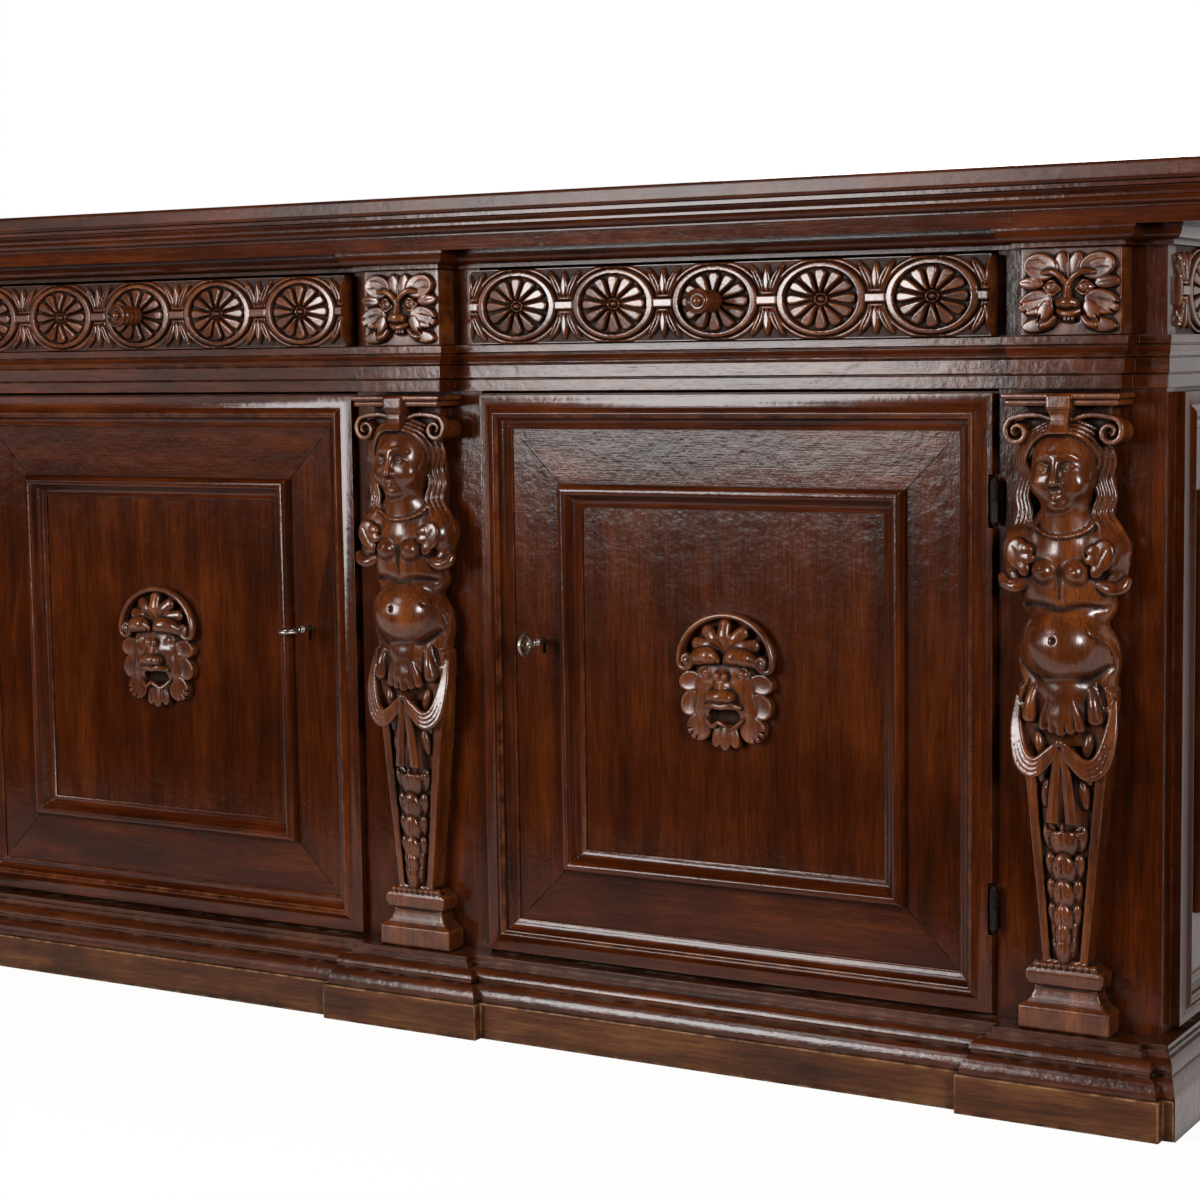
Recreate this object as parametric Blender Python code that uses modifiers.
"""Carved walnut credenza: two panelled doors, two frieze drawers and three herm figures.

Metres, +Z up, front towards -Y. The origin lies on the floor at the middle of the whole piece.
"""
import math

import bmesh
import bpy
from mathutils import Matrix, Vector

# Plan of the carcase
BAY = 0.9034
PIER_HALF = 0.0985
END_WIDTH = 0.0990
CARCASE_DEPTH = 0.490
STILE_THICK = 0.028
SIDE_THICK = 0.022
BACK_THICK = 0.016
SHELF_THICK = 0.018
DIVIDER_THICK = 0.018

# Heights, stacked from the floor
PLINTH_HEIGHT = 0.047
BASE_HEIGHT = 0.053
OPENING_HEIGHT = 0.7345
WAIST_HEIGHT = 0.059
FRIEZE_HEIGHT = 0.098
CORNICE_HEIGHT = 0.0665
TOP_THICK = 0.022

# Projections of the mouldings from the stile face
CORNICE_OUT = 0.090
BED_OUT = 0.026
WAIST_OUT = 0.016
BASE_OUT = 0.060
PLINTH_OUT = 0.065
SIDE_SHARE = 0.56
CROWN_SHARE = 0.95
BREAK_HALF = 0.0565
BLOCK_BREAK = 0.0375
BLOCK_SET = 0.002
PLINTH_BREAK = 0.014

# Fits
GAP = 0.0003
DOOR_SIDE_PLAY = 0.0010
DOOR_END_PLAY = 0.0030
DRAWER_PLAY = 0.0015
DRAWER_HEAD = 0.0040
KEY_PLAY = 0.0003

# Doors
RAIL_WIDTH = 0.128
RAIL_THICK = 0.022
REBATE = 0.010
PANEL_SET = 0.006
PANEL_THICK = 0.012
OUTER_INSET = 0.002
OUTER_WIDTH = 0.0435
OUTER_RISE = 0.018
INNER_WIDTH = 0.030
INNER_RISE = 0.014
INNER_LAP = 0.0135
MASK_WIDTH = 0.135
MASK_HEIGHT = 0.171
MASK_OUT = 0.044
MASK_RISE = 0.010

# Ironwork
HINGE_INSET = 0.126
HINGE_LENGTH = 0.047
HINGE_RADIUS = 0.0055
HINGE_FORWARD = 0.010
LEAF_THICK = 0.002
LEAF_DEPTH = 0.017
KEY_INSET = 0.0875
KEY_UP = 0.0475
KEY_RADIUS = 0.003
KEY_OUT = 0.024
BOW_HEIGHT = 0.034
BIT_LENGTH = 0.012
LOCK_WIDTH = 0.112
LOCK_HEIGHT = 0.090
LOCK_THICK = 0.018
BOLT_THICK = 0.008
BOLT_HEIGHT = 0.016

# Drawers
DRAWER_DEPTH = 0.400
DRAWER_FRONT_THICK = 0.034
DRAWER_WALL = 0.012
DRAWER_PROUD = 0.022
ROSETTE_PITCH = 0.1409
ROSETTE_COUNT = 5
ROSETTE_RELIEF = 0.008
FLOWER_RADIUS = 0.044
STRAP_RADIUS = 0.059
STRAP_WIDTH = 0.011
KNOB_RADIUS = 0.0135
KNOB_OUT = 0.046

# Figures
FIGURE_OUT = 0.0825
BLOCK_MASK_OUT = 0.0210

# Levels and planes that follow
PLINTH_TOP = PLINTH_HEIGHT
BASE_TOP = PLINTH_TOP + BASE_HEIGHT
WAIST_BOTTOM = BASE_TOP + OPENING_HEIGHT
WAIST_TOP = WAIST_BOTTOM + WAIST_HEIGHT
FRIEZE_TOP = WAIST_TOP + FRIEZE_HEIGHT
CORNICE_TOP = FRIEZE_TOP + CORNICE_HEIGHT
CARCASE_HALF = BAY + END_WIDTH
FACE_Y = CORNICE_OUT - (CORNICE_OUT + CARCASE_DEPTH) / 2.0
BACK_Y = FACE_Y + CARCASE_DEPTH
STILE_BACK = FACE_Y + STILE_THICK
INNER_HALF = CARCASE_HALF - SIDE_THICK
DOOR_WIDTH = BAY - 2.0 * PIER_HALF - 2.0 * DOOR_SIDE_PLAY
DOOR_BOTTOM = BASE_TOP + DOOR_END_PLAY
DOOR_TOP = WAIST_BOTTOM - DOOR_END_PLAY
DOOR_MIDDLE = (DOOR_BOTTOM + DOOR_TOP) / 2.0
LATCH_X = PIER_HALF + DOOR_SIDE_PLAY
HINGE_X = BAY - PIER_HALF - DOOR_SIDE_PLAY / 2.0
HINGE_Y = FACE_Y - HINGE_FORWARD
PANEL_Y = FACE_Y + PANEL_SET
KEY_X = LATCH_X + KEY_INSET
KEY_Z = DOOR_MIDDLE + KEY_UP
LOCK_Y = FACE_Y + RAIL_THICK + GAP
BOLT_Y = max(STILE_BACK, LOCK_Y + 0.004) + 0.0008
DRAWER_Y = FACE_Y - DRAWER_PROUD
DRAWER_BOTTOM = WAIST_TOP + DRAWER_PLAY
DRAWER_TOP = FRIEZE_TOP - DRAWER_HEAD
BAY_MIDDLE = BAY / 2.0

WALNUT = ("walnut", (0.075, 0.026, 0.012), 0.34, 0.0)
CARVED = ("carved_walnut", (0.060, 0.024, 0.013), 0.38, 0.0)
INNER_WOOD = ("inner_walnut", (0.130, 0.062, 0.030), 0.62, 0.0)
IRON = ("black_iron", (0.020, 0.018, 0.017), 0.45, 1.0)
STEEL = ("worn_steel", (0.340, 0.310, 0.260), 0.32, 1.0)

for stale in list(bpy.data.objects):
    bpy.data.objects.remove(stale, do_unlink=True)

PARTS = bpy.data.collections.new("credenza")
CUTTERS = bpy.data.collections.new("credenza_cutters")
bpy.context.scene.collection.children.link(PARTS)
bpy.context.scene.collection.children.link(CUTTERS)


def finish_mesh(name, bm):
    """Closes a working mesh, turns its faces outwards and gives it an object."""
    bmesh.ops.remove_doubles(bm, verts=bm.verts, dist=0.00002)
    bmesh.ops.recalc_face_normals(bm, faces=bm.faces)
    mesh = bpy.data.meshes.new(name)
    bm.to_mesh(mesh)
    bm.free()
    obj = bpy.data.objects.new(name, mesh)
    CUTTERS.objects.link(obj)
    obj.hide_render = True
    obj.display_type = "WIRE"
    return obj


def box(name, xs, ys, zs):
    """A rectangular board between the given limits, in either order."""
    low = Vector((min(xs), min(ys), min(zs)))
    high = Vector((max(xs), max(ys), max(zs)))
    place = Matrix.LocRotScale((low + high) / 2.0, None, high - low)
    bm = bmesh.new()
    bmesh.ops.create_cube(bm, size=1.0, matrix=place)
    return finish_mesh(name, bm)


def ball(center, radii, turn=(0.0, 0.0, 0.0), segments=14, rings=9):
    """An ellipsoid, turned by the given angles in degrees."""
    euler = Matrix.Rotation(math.radians(turn[2]), 3, "Z")
    euler = euler @ Matrix.Rotation(math.radians(turn[1]), 3, "Y")
    euler = euler @ Matrix.Rotation(math.radians(turn[0]), 3, "X")
    place = Matrix.LocRotScale(Vector(center), euler.to_quaternion(), Vector(radii))
    bm = bmesh.new()
    bmesh.ops.create_uvsphere(bm, u_segments=segments, v_segments=rings, radius=1.0, matrix=place)
    return finish_mesh("ball", bm)


def rod(name, start, end, radius, end_radius=None, segments=12):
    """A straight round bar between two points, tapered if the radii differ."""
    tip = radius if end_radius is None else end_radius
    a = Vector(start)
    b = Vector(end)
    turn = Vector((0.0, 0.0, 1.0)).rotation_difference(b - a)
    place = Matrix.LocRotScale((a + b) / 2.0, turn, None)
    bm = bmesh.new()
    bmesh.ops.create_cone(bm, cap_ends=True, segments=segments, radius1=radius, radius2=tip,
                          depth=(b - a).length, matrix=place)
    return finish_mesh(name, bm)


def tube(points, radii, resolution=2):
    """A bent bar along smooth points, with its own thickness at each."""
    curve = bpy.data.curves.new("tube", "CURVE")
    curve.dimensions = "3D"
    curve.bevel_depth = 1.0
    curve.bevel_resolution = resolution
    curve.use_fill_caps = True
    curve.resolution_u = 4
    spline = curve.splines.new("NURBS")
    spline.points.add(len(points) - 1)
    for point, place, radius in zip(spline.points, points, radii):
        point.co = (place[0], place[1], place[2], 1.0)
        point.radius = radius
    spline.order_u = 3
    spline.use_endpoint_u = True
    obj = bpy.data.objects.new("tube", curve)
    CUTTERS.objects.link(obj)
    made = bpy.data.meshes.new_from_object(obj.evaluated_get(bpy.context.evaluated_depsgraph_get()))
    bpy.data.objects.remove(obj, do_unlink=True)
    bpy.data.curves.remove(curve)
    bm = bmesh.new()
    bm.from_mesh(made)
    bpy.data.meshes.remove(made)
    return finish_mesh("tube", bm)


def sweep(name, sections, closed=False):
    """Extrudes a section from place to place, capping the ends unless the run closes on itself."""
    bm = bmesh.new()
    row = [bm.verts.new(point) for point in sections[0]]
    edges = [bm.edges.new((row[i], row[(i + 1) % len(row)])) for i in range(len(row))]
    if not closed:
        bm.faces.new(row)
    stations = list(sections[1:])
    if closed:
        stations.append(sections[0])
    for station in stations:
        grown = bmesh.ops.extrude_edge_only(bm, edges=edges)["geom"]
        fresh = {item for item in grown if isinstance(item, bmesh.types.BMVert)}
        follow = []
        for old in row:
            partner = [e.other_vert(old) for e in old.link_edges if e.other_vert(old) in fresh]
            follow.append(partner[0])
        for vert, point in zip(follow, station):
            vert.co = point
        row = follow
        edges = [bm.edges.get((row[i], row[(i + 1) % len(row)])) for i in range(len(row))]
    if not closed:
        bm.faces.new(row)
    bmesh.ops.remove_doubles(bm, verts=bm.verts, dist=0.00002)
    bmesh.ops.dissolve_degenerate(bm, edges=bm.edges, dist=0.00001)
    return finish_mesh(name, bm)


def stack(name, levels, x=0.0, back=None):
    """A square-cut post from levels of (height, half width, front), flat at the back."""
    rear = FACE_Y - GAP if back is None else back
    sections = []
    for height, half, front in levels:
        sections.append([(x - half, rear, height), (x - half, front, height),
                         (x + half, front, height), (x + half, rear, height)])
    return sweep(name, sections)


def ring(name, rect, profile, place):
    """A mitred frame: a profile of (inset, rise) carried round a rectangle."""
    a0, a1, b0, b1 = rect
    sections = []
    for sa, sb in ((0, 0), (1, 0), (1, 1), (0, 1)):
        section = []
        for inset, rise in profile:
            a = a1 - inset if sa else a0 + inset
            b = b1 - inset if sb else b0 + inset
            section.append(place(a, b, rise))
        sections.append(section)
    return sweep(name, sections, closed=True)


def front_run(name, profile, breaks=0.0, share=SIDE_SHARE):
    """A moulding along the front, breaking forward at the three figures, mitred at both corners."""
    stations = []
    corner = CARCASE_HALF - GAP
    stations.append((-corner, 0.0, -share, 1.0))
    if breaks > 0.0:
        for axis in (-BAY, 0.0, BAY):
            stations.append((axis - BREAK_HALF, 0.0, -1.0, 1.0))
            stations.append((axis - BREAK_HALF, breaks, -1.0, 1.0))
            stations.append((axis + BREAK_HALF, breaks, 1.0, 1.0))
            stations.append((axis + BREAK_HALF, 0.0, 1.0, 1.0))
    stations.append((corner, 0.0, share, 1.0))
    sections = []
    for x, forward, side, out in stations:
        section = [(x, FACE_Y - GAP, profile[0][1])]
        for reach, height in profile:
            section.append((x + side * reach, FACE_Y - forward - out * reach, height))
        section.append((x, FACE_Y - GAP, profile[-1][1]))
        sections.append(section)
    return sweep(name, sections)


def side_run(name, profile, side, share=SIDE_SHARE):
    """The return of a front moulding along one end of the carcase."""
    face = CARCASE_HALF + GAP
    sections = []
    for front in (True, False):
        section = []
        for reach, height in [(0.0, profile[0][1])] + list(profile) + [(0.0, profile[-1][1])]:
            y = FACE_Y - reach + GAP if front else BACK_Y
            section.append((side * (face + share * reach), y, height))
        sections.append(section)
    return sweep(name, sections)


def arc(start, end, level_first, steps):
    """Points of a quarter round from start to end, leaving level or leaving upright."""
    points = []
    for step in range(1, steps + 1):
        angle = 0.5 * math.pi * step / steps
        first = math.sin(angle)
        second = 1.0 - math.cos(angle)
        a = first if level_first else second
        b = second if level_first else first
        points.append((start[0] + (end[0] - start[0]) * a, start[1] + (end[1] - start[1]) * b))
    return points


def scaled(profile, out, bottom, height):
    """A profile drawn in unit reach and unit height, brought to size."""
    return [(reach * out, bottom + level * height) for reach, level in profile]


def lathe(name, profile, origin, steps=12):
    """A turned piece: (radius, height) points spun about an axis that points to the front."""
    bm = bmesh.new()
    verts = [bm.verts.new((radius, 0.0, height)) for radius, height in profile]
    for first, second in zip(verts, verts[1:]):
        bm.edges.new((first, second))
    mesh = bpy.data.meshes.new(name)
    bm.to_mesh(mesh)
    bm.free()
    obj = bpy.data.objects.new(name, mesh)
    CUTTERS.objects.link(obj)
    screw = obj.modifiers.new("turning", "SCREW")
    screw.steps = steps
    screw.render_steps = steps
    screw.use_merge_vertices = True
    screw.merge_threshold = 0.00001
    made = bpy.data.meshes.new_from_object(obj.evaluated_get(bpy.context.evaluated_depsgraph_get()))
    bpy.data.objects.remove(obj, do_unlink=True)
    place = Matrix.Translation(Vector(origin)) @ Matrix.Rotation(math.radians(90.0), 4, "X")
    bm = bmesh.new()
    bm.from_mesh(made)
    bpy.data.meshes.remove(made)
    bmesh.ops.transform(bm, matrix=place, verts=bm.verts)
    return finish_mesh(name, bm)


def joined(name, pieces):
    """Several working shapes held in one mesh."""
    bm = bmesh.new()
    for piece in pieces:
        bm.from_mesh(piece.data)
        bpy.data.objects.remove(piece, do_unlink=True)
    mesh = bpy.data.meshes.new(name)
    bm.to_mesh(mesh)
    bm.free()
    obj = bpy.data.objects.new(name, mesh)
    CUTTERS.objects.link(obj)
    obj.hide_render = True
    obj.display_type = "WIRE"
    return obj


def settled(obj):
    """Makes the modified shape of an object its own mesh."""
    graph = bpy.context.evaluated_depsgraph_get()
    made = bpy.data.meshes.new_from_object(obj.evaluated_get(graph))
    obj.modifiers.clear()
    obj.data = made
    return obj


def carved(name, pieces, grain, faces, softening=4):
    """Blends overlapping shapes into one carved skin with about the given number of triangles."""
    obj = joined(name, pieces)
    skin = obj.modifiers.new("carving", "REMESH")
    skin.mode = "VOXEL"
    skin.voxel_size = grain
    soften = obj.modifiers.new("softening", "SMOOTH")
    soften.factor = 0.5
    soften.iterations = softening
    settled(obj)
    total = sum(len(polygon.vertices) - 2 for polygon in obj.data.polygons)
    thin = obj.modifiers.new("facets", "DECIMATE")
    thin.ratio = min(1.0, faces / total)
    return settled(obj)


def change(obj, other, operation):
    """Adds a shape to an object, or takes it away, and keeps the other shape as a cutter."""
    step = obj.modifiers.new(operation.lower(), "BOOLEAN")
    step.operation = operation
    step.solver = "EXACT"
    step.object = other
    return obj


def part(obj, name, finish, parent=None):
    """Moves a finished shape among the parts, names it and gives it its material."""
    label, colour, roughness, metallic = finish
    obj.name = name
    obj.data.name = name
    CUTTERS.objects.unlink(obj)
    PARTS.objects.link(obj)
    obj.hide_render = False
    obj.display_type = "TEXTURED"
    material = bpy.data.materials.new(name + "_" + label)
    material.use_nodes = True
    surface = material.node_tree.nodes["Principled BSDF"]
    surface.inputs["Base Color"].default_value = (colour[0], colour[1], colour[2], 1.0)
    surface.inputs["Roughness"].default_value = roughness
    surface.inputs["Metallic"].default_value = metallic
    material.diffuse_color = (colour[0], colour[1], colour[2], 1.0)
    obj.data.materials.clear()
    obj.data.materials.append(material)
    followers = [obj] + [step.object for step in obj.modifiers if step.type == "BOOLEAN"]
    if parent is not None:
        for follower in followers:
            follower.parent = parent
            follower.matrix_parent_inverse = parent.matrix_world.inverted()
    return obj


def axis_empty(name, place):
    """An empty on the axis of a joint."""
    empty = bpy.data.objects.new(name, None)
    empty.location = place
    empty.empty_display_size = 0.05
    PARTS.objects.link(empty)
    bpy.context.view_layer.update()
    return empty


def cornice_profiles():
    """The crown under the top board and the bed mould below it, as (reach, height) points."""
    crown_bottom = FRIEZE_TOP + 0.33 * CORNICE_HEIGHT
    crown = [(0.705, 0.0), (0.735, 0.40), (0.765, 0.40), (0.765, 0.44)]
    crown += arc((0.765, 0.44), (0.885, 0.66), True, 4)
    crown += [(0.915, 0.66), (0.915, 0.73), (0.865, 0.73)]
    crown += arc((0.865, 0.73), (0.930, 0.90), False, 3)
    crown += [(0.950, 0.90), (0.950, 1.0)]
    top = CORNICE_TOP - GAP
    bed = [(0.36, 0.0), (0.36, 0.22), (0.50, 0.22)]
    bed += arc((0.50, 0.22), (0.92, 0.80), True, 5)
    bed += [(1.0, 0.80), (1.0, 1.0)]
    crown_points = scaled(crown, CORNICE_OUT, crown_bottom, top - crown_bottom)
    bottom = FRIEZE_TOP + GAP
    bed_points = scaled(bed, BED_OUT, bottom, crown_bottom + 0.0015 - bottom)
    return crown_points, bed_points


def waist_profile():
    """Two fasciae, an ovolo and a fillet with quirks between them, from the bottom up."""
    points = [(0.30, 0.0), (0.30, 0.245), (0.20, 0.255), (0.20, 0.280), (0.56, 0.290)]
    points += [(0.56, 0.560), (0.44, 0.570), (0.44, 0.590), (0.66, 0.600), (0.66, 0.645)]
    points += arc((0.66, 0.645), (0.90, 0.800), True, 3)
    points += [(0.76, 0.810), (0.76, 0.835), (1.0, 0.845), (1.0, 1.0)]
    bottom = WAIST_BOTTOM + GAP
    return scaled(points, WAIST_OUT, bottom, WAIST_TOP - GAP - bottom)


def base_profile():
    """Fillet, hollow, torus and two stepped fillets, from the plinth up."""
    points = [(1.0, 0.0), (1.0, 0.11)]
    points += arc((0.985, 0.11), (0.80, 0.42), False, 4)
    points += [(0.82, 0.45)]
    points += arc((0.82, 0.45), (0.865, 0.56), False, 2)
    points += arc((0.865, 0.56), (0.655, 0.77), False, 4)
    points += [(0.60, 0.77), (0.60, 0.88), (0.52, 0.88), (0.52, 1.0)]
    bottom = PLINTH_TOP + GAP
    return scaled(points, BASE_OUT, bottom, BASE_TOP - GAP - bottom)


def outer_profile():
    """Section of the raised moulding round a door, as (inset, rise) points."""
    width = OUTER_WIDTH
    rise = OUTER_RISE
    points = [(0.0, 0.0), (0.0, 0.62), (0.17, 0.62)]
    points += arc((0.19, 0.66), (0.46, 1.0), True, 4)[:-1]
    points += arc((0.46, 1.0), (0.62, 0.80), True, 3)
    points += [(0.66, 0.80)]
    points += arc((0.66, 0.80), (0.90, 0.20), False, 4)
    points += [(0.93, 0.16), (1.0, 0.12), (1.0, 0.0)]
    return [(inset * width, max(level * rise, 0.0)) for inset, level in points]


def inner_profile(frame_inset, floor):
    """Section of the bolection moulding that laps from the rails down to the panel."""
    lap = INNER_LAP
    points = [(frame_inset - lap, GAP), (frame_inset - lap, 0.34 * INNER_RISE)]
    points += arc((frame_inset - lap + 0.001, 0.45 * INNER_RISE),
                  (frame_inset - lap + 0.009, INNER_RISE), False, 4)
    points += arc((frame_inset - lap + 0.009, INNER_RISE),
                  (frame_inset - lap + 0.015, 0.62 * INNER_RISE), True, 3)
    edge = frame_inset - lap + INNER_WIDTH
    points += arc((frame_inset - lap + 0.017, 0.55 * INNER_RISE), (edge - 0.003, floor + 0.003),
                  False, 4)
    points += [(edge, floor + 0.002), (edge, floor + GAP)]
    points += [(frame_inset + GAP, floor + GAP), (frame_inset + GAP, GAP)]
    return points


def build_frame():
    """Stiles, boards and mouldings of the carcase."""
    for name, x in (("center_stile", 0.0), ("corner_stile_left", -1.0), ("corner_stile_right", 1.0)):
        xs = (-PIER_HALF, PIER_HALF)
        if x:
            xs = (x * (BAY - PIER_HALF), x * CARCASE_HALF)
        post = box(name, xs, (FACE_Y, STILE_BACK), (0.0, CORNICE_TOP - GAP))
        if x:
            for height in hinge_heights():
                change(post, hinge_slot(x, 1.0, height), "DIFFERENCE")
        part(post, name, WALNUT)

    inner = (-INNER_HALF + GAP, INNER_HALF - GAP)
    behind = (STILE_BACK + GAP, BACK_Y - BACK_THICK - GAP)
    bottom = box("bottom_board", inner, behind, (BASE_TOP - SHELF_THICK, BASE_TOP))
    for side in (-1.0, 1.0):
        edge = (side * (PIER_HALF + GAP), side * (BAY - PIER_HALF - GAP))
        lip = box("bottom_lip", edge, (FACE_Y + GAP, STILE_BACK + 0.004),
                  (BASE_TOP - SHELF_THICK + 0.001, BASE_TOP - 0.001))
        change(bottom, lip, "UNION")
    part(bottom, "bottom_board", INNER_WOOD)
    dust = box("dust_board", inner, behind, (WAIST_TOP - SHELF_THICK, WAIST_TOP))
    part(dust, "dust_board", INNER_WOOD)
    half = DIVIDER_THICK / 2.0
    divider = box("drawer_divider", (-half, half), behind, (WAIST_TOP + GAP, CORNICE_TOP - GAP))
    part(divider, "drawer_divider", INNER_WOOD)
    back = box("back_board", inner, (BACK_Y - BACK_THICK, BACK_Y), (0.0, CORNICE_TOP - GAP))
    part(back, "back_board", INNER_WOOD)

    crown, bed = cornice_profiles()
    front = front_run("cornice_front", crown, share=CROWN_SHARE)
    change(front, front_run("cornice_bed", bed, BLOCK_BREAK, share=CROWN_SHARE), "UNION")
    for side in (-1.0, 1.0):
        edge = (side * (PIER_HALF + GAP), side * (BAY - PIER_HALF - GAP))
        rail = box("cornice_rail", edge, (FACE_Y - 0.006, STILE_BACK),
                   (FRIEZE_TOP + 0.002, CORNICE_TOP - 0.002))
        change(front, rail, "UNION")
    part(front, "cornice_front", WALNUT)
    waist = front_run("waist_rail", waist_profile(), BLOCK_BREAK)
    for side in (-1.0, 1.0):
        edge = (side * (PIER_HALF + GAP), side * (BAY - PIER_HALF - GAP))
        rail = box("waist_back", edge, (FACE_Y - 0.003, STILE_BACK),
                   (WAIST_BOTTOM + 0.002, WAIST_TOP - 0.002))
        change(waist, rail, "UNION")
    part(waist, "waist_rail", WALNUT)
    part(front_run("base_moulding", base_profile(), PLINTH_BREAK), "base_moulding", WALNUT)
    plinth = [(PLINTH_OUT, 0.0), (PLINTH_OUT, PLINTH_TOP)]
    part(front_run("plinth_front", plinth, PLINTH_BREAK), "plinth_front", WALNUT)

    edge = [(0.0055, 0.0)] + arc((0.0055, 0.0), (0.0, 0.24), True, 3)
    edge += [(0.0, 0.78)] + arc((0.0, 0.78), (0.0045, 1.0), False, 3)
    levels = []
    for inset, level in edge:
        reach = CORNICE_OUT - inset
        height = CORNICE_TOP + TOP_THICK * level
        levels.append((height, CARCASE_HALF + CROWN_SHARE * reach, FACE_Y - reach))
    part(stack("top_board", levels, back=BACK_Y), "top_board", WALNUT)


def build_end(side):
    """One end of the carcase: panelled frame, frieze board and the mouldings that return on it."""
    tag = "left" if side < 0.0 else "right"
    crown, bed = cornice_profiles()
    cornice = side_run("cornice_" + tag, crown, side, CROWN_SHARE)
    change(cornice, side_run("cornice_bed", bed, side, CROWN_SHARE), "UNION")
    rail = box("cornice_rail", (side * INNER_HALF, side * (CARCASE_HALF + 0.004)),
               (STILE_BACK + GAP, BACK_Y - 0.001), (FRIEZE_TOP + 0.002, CORNICE_TOP - 0.002))
    change(cornice, rail, "UNION")
    part(cornice, "cornice_" + tag, WALNUT)
    part(side_run("waist_" + tag, waist_profile(), side), "waist_" + tag, WALNUT)
    foot = [(PLINTH_OUT, 0.0), (PLINTH_OUT, PLINTH_TOP)] + base_profile()[1:]
    part(side_run("base_" + tag, foot, side), "base_" + tag, WALNUT)

    def outward(a, b, rise):
        return (side * (CARCASE_HALF + rise), a, b)

    ys = (STILE_BACK + GAP, BACK_Y)
    xs = (side * INNER_HALF, side * CARCASE_HALF)
    frame = box("side_frame_" + tag, xs, ys, (0.0, WAIST_TOP - GAP))
    field = (ys[0] + 0.004, ys[1] - 0.004, DOOR_BOTTOM + 0.002, DOOR_TOP - 0.002)
    frame_inset = RAIL_WIDTH - 0.030
    sight = (field[0] + frame_inset, field[1] - frame_inset, field[2] + RAIL_WIDTH,
             field[3] - RAIL_WIDTH)
    window = box("side_window", (side * (INNER_HALF - 0.01), side * (CARCASE_HALF + 0.01)),
                 sight[0:2], sight[2:4])
    change(frame, window, "DIFFERENCE")
    rebate = box("side_rebate", (side * (INNER_HALF - 0.01), side * (CARCASE_HALF - PANEL_SET)),
                 (sight[0] - REBATE, sight[1] + REBATE), (sight[2] - REBATE, sight[3] + REBATE))
    change(frame, rebate, "DIFFERENCE")
    seated = [(inset, rise if rise > 0.0 else -0.002) for inset, rise in outer_profile()]
    change(frame, ring("side_outer", field, seated, outward), "UNION")
    part(frame, "side_frame_" + tag, WALNUT)

    plate = CARCASE_HALF - PANEL_SET - GAP
    edge = REBATE - GAP
    panel = box("side_panel_" + tag, (side * plate, side * (plate - PANEL_THICK)),
                (sight[0] - edge, sight[1] + edge), (sight[2] - edge, sight[3] + edge))
    lap = INNER_LAP
    rect = (sight[0] - lap, sight[1] + lap, sight[2] - lap, sight[3] + lap)
    bolection = [(inset, rise if rise > -PANEL_SET + 0.001 else -PANEL_SET - 0.002)
                 for inset, rise in inner_profile(lap, -PANEL_SET)]
    change(panel, ring("side_inner", rect, bolection, outward), "UNION")
    part(panel, "side_panel_" + tag, WALNUT)

    frieze = box("side_frieze_" + tag, xs, ys, (WAIST_TOP + GAP, FRIEZE_TOP - GAP))
    count = 3
    for index in range(count):
        y = (ys[0] + ys[1]) / 2.0 + (index - (count - 1) / 2.0) * ROSETTE_PITCH
        turn = Matrix.Rotation(side * math.radians(90.0), 4, "Z")
        place = Matrix.Translation((side * CARCASE_HALF, y, (WAIST_TOP + FRIEZE_TOP) / 2.0)) @ turn
        change(frieze, rosette(place, FRIEZE_HEIGHT / 2.0 - 0.002), "UNION")
    part(frieze, "side_frieze_" + tag, CARVED)


def rosette(place, half_height, button=0.010):
    """A twelve-petalled flower in a strap ring, facing the front before it is placed."""
    relief = ROSETTE_RELIEF
    petals = []
    for index in range(24):
        angle = 2.0 * math.pi * index / 24.0
        reach = FLOWER_RADIUS if index % 2 else 0.87 * FLOWER_RADIUS
        petals.append((reach * math.cos(angle), 0.84 * reach * math.sin(angle)))
    levels = []
    for depth, size in ((0.004, 1.0), (-0.80 * relief, 0.97), (-0.45 * relief, 0.0)):
        levels.append([(size * x, depth, size * z) for x, z in petals])
    flower = sweep("flower", levels)
    strap = []
    near = STRAP_RADIUS - STRAP_WIDTH
    for index in range(14):
        angle = 2.0 * math.pi * (index + 0.5) / 14.0
        section = []
        for reach, depth in ((near, 0.004), (near, -0.7 * relief), (STRAP_RADIUS, -0.7 * relief),
                             (STRAP_RADIUS, 0.004)):
            height = max(-half_height, min(half_height, 0.88 * reach * math.sin(angle)))
            section.append((reach * math.cos(angle), depth, height))
        strap.append(section)
    band = sweep("strap", strap, closed=True)
    boss = rod("boss", (0.0, 0.004, 0.0), (0.0, -relief, 0.0), button, 0.85 * button, 8)
    change(flower, boss, "UNION")
    settled(flower)
    change(flower, band, "UNION")
    settled(flower)
    bpy.data.objects.remove(boss, do_unlink=True)
    bpy.data.objects.remove(band, do_unlink=True)
    flower.data.transform(place)
    return flower


def hinge_heights():
    """Middle height of the lower and upper hinge."""
    return (DOOR_BOTTOM + HINGE_INSET, DOOR_TOP - HINGE_INSET)


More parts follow.
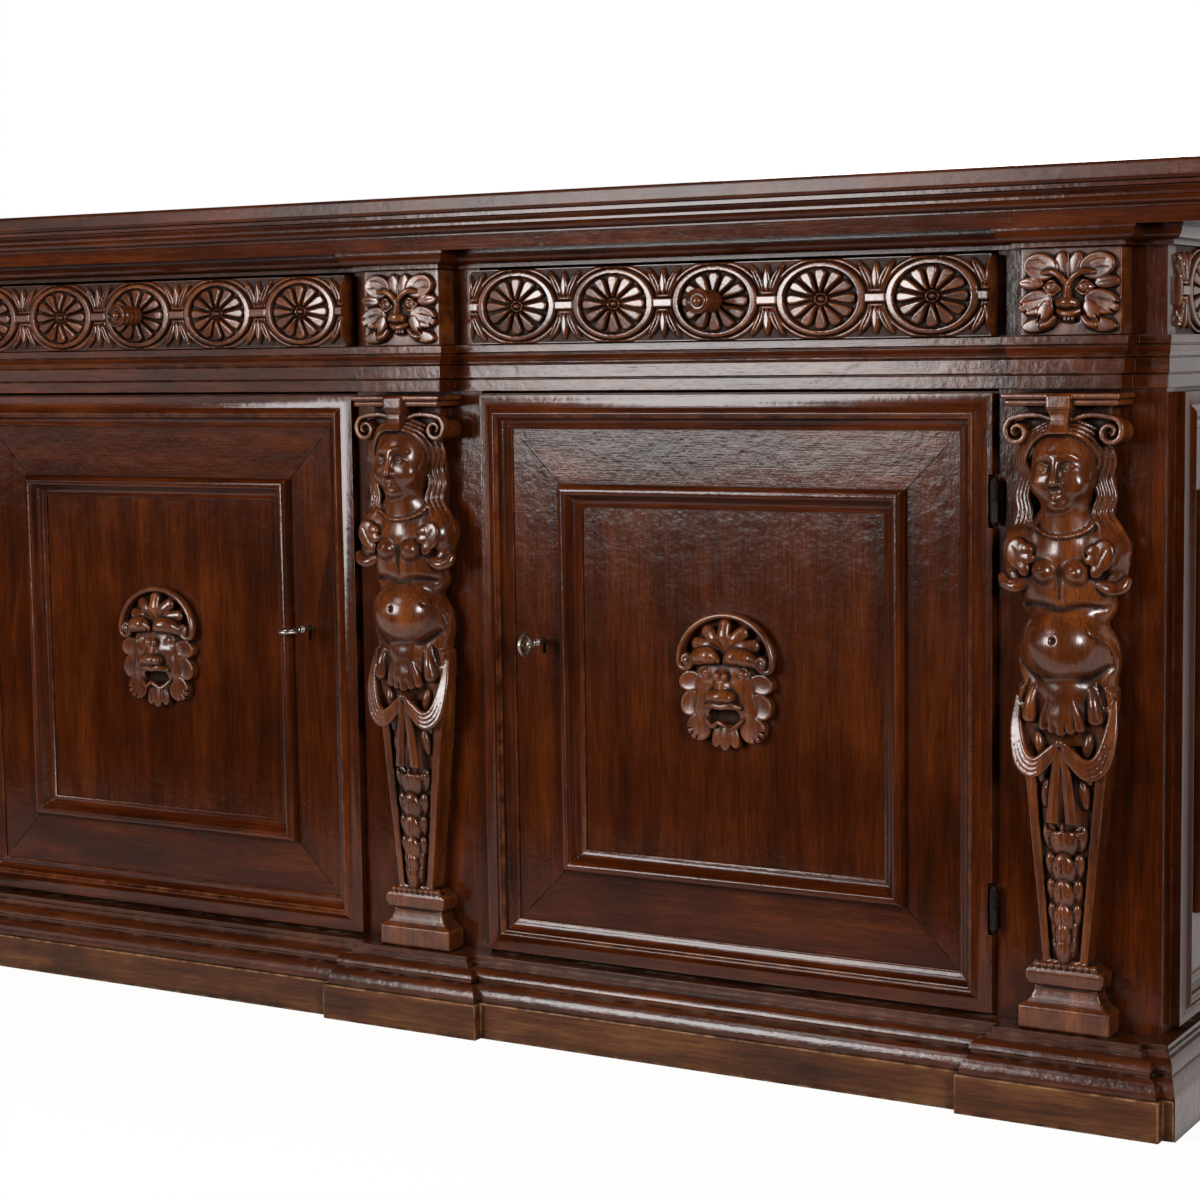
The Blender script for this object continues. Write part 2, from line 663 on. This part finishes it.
def hinge_half(side, fixed, height):
    """Half a hinge: a barrel with a ball end on the axis and a leaf let into the wood."""
    x = side * HINGE_X
    lean = side * (1.0 if fixed else -1.0)
    sign = -1.0 if fixed else 1.0
    start = height + sign * 0.5 * GAP
    end = height + sign * HINGE_LENGTH / 2.0
    barrel = rod("barrel", (x, HINGE_Y, start), (x, HINGE_Y, end), HINGE_RADIUS, segments=10)
    tip = ball((x, HINGE_Y, end), (0.8 * HINGE_RADIUS, 0.8 * HINGE_RADIUS, HINGE_RADIUS),
               segments=8, rings=4)
    change(barrel, tip, "UNION")
    leaf = box("leaf", (x + lean * 0.0015, x + lean * (0.0015 + LEAF_THICK)),
               (HINGE_Y, FACE_Y + LEAF_DEPTH), (start + sign * 0.0004, end - sign * 0.0010))
    change(barrel, leaf, "UNION")
    return barrel


def hinge_slot(side, lean, height):
    """The slot a hinge leaf sits in, in the stile (lean 1) or in the door (lean -1)."""
    x = side * HINGE_X
    sign = -1.0 if lean > 0.0 else 1.0
    near = 0.0015 - GAP
    far = 0.0015 + LEAF_THICK + GAP
    return box("leaf_slot", (x + side * lean * near, x + side * lean * far),
               (FACE_Y - 0.004, FACE_Y + LEAF_DEPTH + GAP),
               (height - sign * GAP, height + sign * (HINGE_LENGTH / 2.0 + GAP)))


def build_door(side):
    """A panelled door with its mouldings, mask, lock, key and hinges."""
    tag = "left" if side < 0.0 else "right"
    axis = axis_empty("door_" + tag + "_axis", (side * HINGE_X, HINGE_Y, 0.0))

    def facing(a, b, rise):
        return (a, FACE_Y - rise, b)

    xs = sorted((side * LATCH_X, side * (LATCH_X + DOOR_WIDTH)))
    rect = (xs[0], xs[1], DOOR_BOTTOM, DOOR_TOP)
    frame_profile = [(0.0, 0.0), (RAIL_WIDTH, 0.0), (RAIL_WIDTH, -PANEL_SET),
                     (RAIL_WIDTH - REBATE, -PANEL_SET), (RAIL_WIDTH - REBATE, -RAIL_THICK),
                     (0.0, -RAIL_THICK)]
    frame = ring("door_frame", rect, frame_profile, facing)
    hole = rod("keyhole", (side * KEY_X, FACE_Y - 0.02, KEY_Z),
               (side * KEY_X, FACE_Y + RAIL_THICK + 0.01, KEY_Z), KEY_RADIUS + 0.0015, segments=16)
    change(frame, hole, "DIFFERENCE")
    slot = box("keyhole_slot", (side * KEY_X - 0.0025, side * KEY_X + 0.0025),
               (FACE_Y - 0.02, FACE_Y + RAIL_THICK + 0.01), (KEY_Z - BIT_LENGTH - 0.004, KEY_Z))
    change(frame, slot, "DIFFERENCE")
    for height in hinge_heights():
        change(frame, hinge_slot(side, -1.0, height), "DIFFERENCE")
    part(frame, "door_frame_" + tag, WALNUT, axis)

    outer_rect = (rect[0] + OUTER_INSET, rect[1] - OUTER_INSET, rect[2] + OUTER_INSET, rect[3] - OUTER_INSET)
    lifted = [(inset, max(rise, GAP)) for inset, rise in outer_profile()]
    outer = ring("door_outer_moulding", outer_rect, lifted, facing)
    for height in hinge_heights():
        notch = box("hinge_notch", (side * (HINGE_X - HINGE_RADIUS - 0.002), side * (HINGE_X + 0.01)),
                    (FACE_Y - 0.05, FACE_Y + 0.001),
                    (height - HINGE_LENGTH / 2.0 - HINGE_RADIUS - 0.002,
                     height + HINGE_LENGTH / 2.0 + HINGE_RADIUS + 0.002))
        change(outer, notch, "DIFFERENCE")
    part(outer, "door_outer_moulding_" + tag, WALNUT, axis)

    lap = INNER_LAP
    inset = RAIL_WIDTH - lap
    inner_rect = (rect[0] + inset, rect[1] - inset, rect[2] + inset, rect[3] - inset)
    inner = ring("door_inner_moulding", inner_rect, inner_profile(lap, -PANEL_SET), facing)
    part(inner, "door_inner_moulding_" + tag, WALNUT, axis)

    edge = RAIL_WIDTH - REBATE + GAP
    panel = box("door_panel", (rect[0] + edge, rect[1] - edge),
                (PANEL_Y + GAP, PANEL_Y + GAP + PANEL_THICK), (rect[2] + edge, rect[3] - edge))
    part(panel, "door_panel_" + tag, WALNUT, axis)

    mask = door_mask(side * BAY_MIDDLE, DOOR_MIDDLE + MASK_RISE)
    part(mask, "door_mask_" + tag, CARVED, axis)

    for height, level in zip(hinge_heights(), ("lower", "upper")):
        part(hinge_half(side, False, height), "door_hinge_" + level + "_" + tag, IRON, axis)
        part(hinge_half(side, True, height), "frame_hinge_" + level + "_" + tag, IRON)
    build_lock(side, tag, axis)


def build_lock(side, tag, axis):
    """The rim lock behind a door, its bolt and its key."""
    x = side * KEY_X
    near = side * (LATCH_X + 0.003)
    case = box("lock_case", (near, near + side * LOCK_WIDTH), (LOCK_Y, LOCK_Y + LOCK_THICK),
               (KEY_Z - 0.40 * LOCK_HEIGHT, KEY_Z + 0.60 * LOCK_HEIGHT))
    pocket_front = LOCK_Y + 0.004
    pocket_back = LOCK_Y + LOCK_THICK - 0.003
    pocket = rod("lock_pocket", (x, pocket_front, KEY_Z), (x, pocket_back, KEY_Z),
                 BIT_LENGTH + 0.0015, segments=16)
    change(case, pocket, "DIFFERENCE")
    change(case, rod("lock_bore", (x, LOCK_Y - 0.01, KEY_Z), (x, pocket_front + 0.002, KEY_Z),
                     KEY_RADIUS + KEY_PLAY, segments=12), "DIFFERENCE")
    way = box("lock_way", (x - 0.0021, x + 0.0021), (LOCK_Y - 0.01, pocket_front + 0.002),
              (KEY_Z - BIT_LENGTH - 0.001, KEY_Z))
    change(case, way, "DIFFERENCE")
    bolt_low = KEY_Z + BIT_LENGTH + 0.003
    slack = GAP
    track = box("bolt_track", (near - side * 0.01, side * (KEY_X - 0.004)),
                (BOLT_Y - slack, BOLT_Y + BOLT_THICK + slack),
                (bolt_low - slack, bolt_low + BOLT_HEIGHT + slack))
    change(case, track, "DIFFERENCE")
    part(case, "lock_case_" + tag, IRON, axis)
    slide = axis_empty("bolt_" + tag + "_axis",
                       (near, BOLT_Y + BOLT_THICK / 2.0, bolt_low + BOLT_HEIGHT / 2.0))
    bolt = box("lock_bolt", (near - side * 0.0015, side * (KEY_X - 0.018)),
               (BOLT_Y, BOLT_Y + BOLT_THICK), (bolt_low, bolt_low + BOLT_HEIGHT))
    part(bolt, "lock_bolt_" + tag, STEEL, slide)

    turn = axis_empty("key_" + tag + "_axis", (x, FACE_Y, KEY_Z))
    tail = pocket_back - 0.001
    key = rod("key", (x, FACE_Y - KEY_OUT, KEY_Z), (x, tail, KEY_Z), KEY_RADIUS, segments=10)
    bit = box("bit", (x - 0.0015, x + 0.0015), (pocket_front + 0.001, tail - 0.001),
              (KEY_Z - BIT_LENGTH, KEY_Z))
    change(key, bit, "UNION")
    collar = ball((x, FACE_Y - KEY_OUT * 0.62, KEY_Z), (0.0050, 0.0030, 0.0050), segments=10, rings=5)
    change(key, collar, "UNION")
    across = side < 0.0
    middle = FACE_Y - KEY_OUT - 0.0115
    loop = []
    for index in range(14):
        angle = 2.0 * math.pi * index / 14.0
        wide = BOW_HEIGHT / 2.0 - 0.0025
        along = 0.0105 + 0.0022 * math.cos(2.0 * angle)
        center = Vector((0.0, -along * math.cos(angle), wide * math.sin(angle)))
        outward = Vector((0.0, -math.cos(angle), math.sin(angle)))
        flat = Vector((1.0, 0.0, 0.0))
        section = []
        for a, b in ((-1, -1), (1, -1), (1, 1), (-1, 1)):
            spot = center + outward * (0.0024 * a) + flat * (0.0019 * b)
            if across:
                spot = Vector((spot.z, spot.y, -spot.x))
            section.append(Vector((x, middle, KEY_Z)) + spot)
        loop.append(section)
    change(key, sweep("bow", loop, closed=True), "UNION")
    part(key, "key_" + tag, STEEL, turn)


def build_drawer(side):
    """A frieze drawer with its carved front, plain box and turned knob."""
    tag = "left" if side < 0.0 else "right"
    middle = side * BAY_MIDDLE
    axis = axis_empty("drawer_" + tag + "_axis", (middle, DRAWER_Y, DRAWER_BOTTOM))
    half = DOOR_WIDTH / 2.0
    height = (DRAWER_BOTTOM + DRAWER_TOP) / 2.0
    front = box("drawer_front", (middle - half, middle + half), (DRAWER_Y, DRAWER_Y + DRAWER_FRONT_THICK),
                (DRAWER_BOTTOM, DRAWER_TOP))
    reach = (DRAWER_TOP - DRAWER_BOTTOM) / 2.0 - 0.001
    for index in range(ROSETTE_COUNT):
        x = middle + (index - (ROSETTE_COUNT - 1) / 2.0) * ROSETTE_PITCH * DOOR_WIDTH / 0.7044
        change(front, rosette(Matrix.Translation((x, DRAWER_Y, height)), reach), "UNION")
    part(front, "drawer_front_" + tag, CARVED, axis)
    near = DRAWER_Y + DRAWER_FRONT_THICK + GAP
    low = WAIST_TOP + GAP
    high = DRAWER_TOP - 0.012
    wide = half - 0.004
    shell = box("drawer_box", (middle - wide, middle + wide), (near, near + DRAWER_DEPTH), (low, high))
    hollow = box("drawer_hollow", (middle - wide + DRAWER_WALL, middle + wide - DRAWER_WALL),
                 (near - 0.01, near + DRAWER_DEPTH - DRAWER_WALL), (low + 0.009, high + 0.02))
    change(shell, hollow, "DIFFERENCE")
    part(shell, "drawer_box_" + tag, INNER_WOOD, axis)
    seat = DRAWER_Y - ROSETTE_RELIEF - GAP
    r = KNOB_RADIUS
    d = KNOB_OUT
    turned = [(0.0, 0.0), (0.64 * r, 0.0), (0.64 * r, 0.06 * d), (0.42 * r, 0.16 * d), (0.40 * r, 0.32 * d),
              (0.54 * r, 0.39 * d), (0.44 * r, 0.47 * d), (0.90 * r, 0.66 * d), (r, 0.76 * d),
              (0.90 * r, 0.85 * d), (0.50 * r, 0.88 * d), (0.32 * r, 0.96 * d), (0.0, d)]
    knob = lathe("drawer_knob", turned, (middle, seat, height))
    part(knob, "drawer_knob_" + tag, CARVED, axis)


def flat_back(obj, plane, reach=0.4):
    """Cuts a carving off flat where it meets the wood behind."""
    spot = sum((Vector(corner) for corner in obj.bound_box), Vector()) / 8.0
    cutter = box("seat", (spot.x - reach, spot.x + reach), (plane, plane + reach),
                 (spot.z - 2.0 * reach, spot.z + 2.0 * reach))
    change(obj, cutter, "DIFFERENCE")
    settled(obj)
    bpy.data.objects.remove(cutter, do_unlink=True)
    return obj


def door_mask(x, z):
    """A grotesque leaf mask under a scrolled hood, carved to stand on a door panel."""
    pieces = []
    for s in (-1.0, 1.0):
        pieces.append(tube([(0.0, -0.010, 0.079), (s * 0.020, -0.012, 0.077), (s * 0.042, -0.012, 0.062),
                            (s * 0.055, -0.013, 0.040), (s * 0.058, -0.014, 0.022)],
                           [0.008, 0.008, 0.008, 0.008, 0.008]))
        pieces.append(ball((s * 0.056, -0.012, 0.018), (0.011, 0.014, 0.011)))
        pieces.append(tube([(s * 0.006, -0.028, 0.018), (s * 0.020, -0.030, 0.026),
                            (s * 0.036, -0.024, 0.022), (s * 0.042, -0.018, 0.008)],
                           [0.006, 0.008, 0.007, 0.004]))
        pieces.append(ball((s * 0.024, -0.024, 0.010), (0.011, 0.010, 0.009)))
        pieces.append(ball((s * 0.030, -0.014, -0.022), (0.020, 0.018, 0.020)))
        pieces.append(ball((s * 0.052, -0.008, -0.004), (0.013, 0.010, 0.020), (0.0, s * 20.0, 0.0)))
        pieces.append(ball((s * 0.048, -0.007, -0.040), (0.011, 0.009, 0.020), (0.0, s * -25.0, 0.0)))
        pieces.append(ball((s * 0.028, -0.009, -0.062), (0.010, 0.010, 0.020), (0.0, s * -18.0, 0.0)))
        pieces.append(ball((s * 0.018, -0.016, 0.054), (0.007, 0.010, 0.016), (0.0, s * 24.0, 0.0)))
        pieces.append(ball((s * 0.034, -0.013, 0.044), (0.007, 0.009, 0.014), (0.0, s * 48.0, 0.0)))
        pieces.append(ball((s * 0.013, -0.026, -0.022), (0.009, 0.010, 0.007)))
    pieces.append(ball((0.0, -0.012, -0.005), (0.044, 0.016, 0.050)))
    pieces.append(ball((0.0, -0.017, 0.060), (0.008, 0.011, 0.018)))
    pieces.append(ball((0.0, -0.030, -0.006), (0.010, 0.014, 0.022)))
    pieces.append(ball((0.0, -0.018, -0.046), (0.016, 0.014, 0.009)))
    pieces.append(ball((0.0, -0.010, -0.070), (0.011, 0.012, 0.018)))
    pieces.append(ball((0.0, -0.004, -0.010), (0.056, 0.007, 0.066)))
    mask = carved("door_mask", pieces, 0.0026, 410)
    size = Matrix.Diagonal((MASK_WIDTH / 0.135, MASK_OUT / 0.044, MASK_HEIGHT / 0.171, 1.0))
    mask.data.transform(Matrix.Translation((x, PANEL_Y, z)) @ size)
    return flat_back(mask, PANEL_Y)


def build_block(axis, tag):
    """A frieze block over a figure, with a leaf mask standing on its face."""
    low = WAIST_TOP + GAP
    high = FRIEZE_TOP - GAP
    ground = FACE_Y - BLOCK_BREAK + BLOCK_SET
    half = BREAK_HALF + 0.0018
    block = box("frieze_block", (axis - half, axis + half), (ground, FACE_Y - GAP), (low, high))
    pieces = []
    for s in (-1.0, 1.0):
        pieces.append(ball((s * 0.0185, -0.010, 0.0050), (0.0100, 0.0065, 0.0085)))
        pieces.append(tube([(s * 0.004, -0.012, 0.012), (s * 0.016, -0.013, 0.020),
                            (s * 0.032, -0.009, 0.022)], [0.0045, 0.0055, 0.0040]))
        pieces.append(ball((s * 0.0180, -0.007, -0.0150), (0.0130, 0.0080, 0.0100)))
        pieces.append(ball((s * 0.0340, -0.005, 0.0285), (0.0200, 0.0075, 0.0135), (0.0, s * -14.0, 0.0)))
        pieces.append(ball((s * 0.0460, -0.004, 0.0090), (0.0110, 0.0060, 0.0070)))
        pieces.append(ball((s * 0.0370, -0.005, -0.0090), (0.0190, 0.0075, 0.0120), (0.0, s * 10.0, 0.0)))
        pieces.append(ball((s * 0.0370, -0.004, -0.0335), (0.0160, 0.0065, 0.0110), (0.0, s * 30.0, 0.0)))
    pieces.append(ball((0.0, -0.004, 0.0), (0.038, 0.0070, 0.036)))
    pieces.append(ball((0.0, -0.013, -0.0040), (0.0065, 0.0080, 0.0140)))
    pieces.append(ball((0.0, -0.007, 0.0310), (0.0080, 0.0070, 0.0120)))
    pieces.append(ball((0.0, -0.006, -0.0270), (0.0120, 0.0065, 0.0080)))
    mask = carved("block_mask", pieces, 0.0022, 310)
    size = Matrix.Diagonal((BREAK_HALF / 0.0565, BLOCK_MASK_OUT / 0.0210, FRIEZE_HEIGHT / 0.098, 1.0))
    mask.data.transform(Matrix.Translation((axis, ground, (low + high) / 2.0)) @ size)
    change(block, flat_back(mask, ground + 0.002), "UNION")
    part(block, "frieze_block_" + tag, CARVED)


def build_figure(axis, tag):
    """A female herm: capital, head, bust and belly over a draped, garlanded, tapering shaft."""
    pieces = []
    for s in (-1.0, 1.0):
        pieces.append(ball((s * 0.0190, -0.0520, 0.6320), (0.0165, 0.0180, 0.0160)))
        pieces.append(ball((s * 0.0530, -0.0250, 0.6480), (0.0220, 0.0220, 0.0200)))
        pieces.append(ball((s * 0.0640, -0.0260, 0.6260), (0.0130, 0.0160, 0.0200)))
        pieces.append(tube([(s * 0.0140, -0.0500, 0.7860), (s * 0.0330, -0.0430, 0.7720),
                            (s * 0.0410, -0.0340, 0.7420), (s * 0.0390, -0.0320, 0.7040),
                            (s * 0.0500, -0.0310, 0.6690)],
                           [0.0080, 0.0100, 0.0100, 0.0090, 0.0080]))
        pieces.append(tube([(s * 0.0560, -0.0280, 0.4820), (s * 0.0520, -0.0460, 0.4420),
                            (s * 0.0320, -0.0500, 0.4060), (s * 0.0120, -0.0500, 0.4180),
                            (0.0, -0.0500, 0.4420)],
                           [0.0070, 0.0100, 0.0110, 0.0090, 0.0080]))
        pieces.append(tube([(s * 0.0040, -0.0480, 0.4300), (s * 0.0130, -0.0470, 0.4000),
                            (s * 0.0190, -0.0450, 0.3520)], [0.0060, 0.0070, 0.0080]))
        pieces.append(ball((s * 0.0360, -0.0440, 0.4780), (0.0130, 0.0090, 0.0190), (0.0, s * 12.0, 0.0)))
        pieces.append(rod("volute", (s * 0.0560, -0.0100, 0.7930), (s * 0.0560, -0.0500, 0.7930), 0.0130))
        pieces.append(ball((s * 0.0110, -0.0740, 0.7450), (0.0055, 0.0040, 0.0030)))
    pieces.append(ball((0.0, -0.0280, 0.6400), (0.0560, 0.0340, 0.0420)))
    pieces.append(ball((0.0, -0.0270, 0.6000), (0.0450, 0.0320, 0.0350)))
    pieces.append(ball((0.0, -0.0350, 0.5480), (0.0530, 0.0420, 0.0500)))
    pieces.append(ball((0.0, -0.0260, 0.5180), (0.0620, 0.0350, 0.0420)))
    pieces.append(ball((0.0, -0.0420, 0.4880), (0.0300, 0.0300, 0.0260)))
    pieces.append(ball((0.0, -0.0520, 0.4780), (0.0170, 0.0110, 0.0220)))
    pieces.append(rod("neck", (0.0, -0.0320, 0.6550), (0.0, -0.0400, 0.7250), 0.0280, 0.0240))
    pieces.append(ball((0.0, -0.0410, 0.7460), (0.0350, 0.0340, 0.0420)))
    pieces.append(ball((0.0, -0.0470, 0.7240), (0.0270, 0.0240, 0.0250)))
    pieces.append(ball((0.0, -0.0755, 0.7370), (0.0052, 0.0070, 0.0110), (-18.0, 0.0, 0.0)))
    pieces.append(ball((0.0, -0.0700, 0.7190), (0.0080, 0.0040, 0.0034)))
    pieces.append(ball((0.0, -0.0280, 0.7640), (0.0430, 0.0340, 0.0320)))
    bead = []
    for index in range(9):
        angle = math.pi * index / 8.0
        dip = math.sin(angle)
        bead.append((0.0360 * math.cos(angle), -0.0280 - 0.0300 * dip, 0.6760 - 0.0070 * dip))
    pieces.append(tube(bead, [0.0052] * 9))
    for tier in range(6):
        height = 0.3330 - 0.0260 * tier
        wide = 0.0270 - 0.0022 * tier
        for s in (-1.0, 0.0, 1.0):
            drop = height - 0.0060 * (1.0 - abs(s))
            pieces.append(ball((s * 0.62 * wide, -0.0400 + 0.0030 * abs(s), drop),
                               (0.48 * wide, 0.0120, 0.0200), (14.0, 0.0, 0.0)))
    pieces.append(box("core", (-0.0250, 0.0250), (-0.0300, 0.0), (0.1800, 0.7900)))
    figure = carved("caryatid", pieces, 0.0034, 600)
    levels = [(0.1000, 0.0545, 0.0360), (0.1270, 0.0545, 0.0360), (0.1310, 0.0480, 0.0320),
              (0.1370, 0.0420, 0.0290), (0.1450, 0.0385, 0.0270), (0.1530, 0.0380, 0.0270),
              (0.1545, 0.0440, 0.0320), (0.1620, 0.0465, 0.0345), (0.1700, 0.0465, 0.0345),
              (0.1735, 0.0390, 0.0310), (0.1790, 0.0330, 0.0290), (0.4050, 0.0480, 0.0330),
              (0.4900, 0.0520, 0.0330)]
    shaft = stack("shaft", [(z, half, -front) for z, half, front in levels], back=0.0)
    levels = [(0.7800, 0.0420, 0.0380), (0.8150, 0.0560, 0.0460), (0.8205, 0.0650, 0.0540),
              (0.8265, 0.0665, 0.0550), (0.8275, 0.0690, 0.0575), (0.8345, 0.0690, 0.0575)]
    cap = stack("capital", [(z, half, -front) for z, half, front in levels], back=0.0)
    change(figure, shaft, "UNION")
    change(figure, cap, "UNION")
    settled(figure)
    bpy.data.objects.remove(shaft, do_unlink=True)
    bpy.data.objects.remove(cap, do_unlink=True)
    flat_back(figure, 0.0, 0.6)
    tall = (OPENING_HEIGHT - 2.0 * GAP) / 0.7345
    wide = BREAK_HALF / 0.0565
    place = Matrix.Translation((axis, FACE_Y - GAP, BASE_TOP + GAP - 0.1000 * tall))
    deep = FIGURE_OUT / 0.0825
    figure.data.transform(place @ Matrix.Diagonal((wide, deep, tall, 1.0)))
    part(figure, "caryatid_" + tag, CARVED)


build_frame()
for hand in (-1.0, 1.0):
    build_end(hand)
    build_door(hand)
    build_drawer(hand)
for where, label in ((-BAY, "left"), (0.0, "center"), (BAY, "right")):
    build_block(where, label)
    build_figure(where, label)
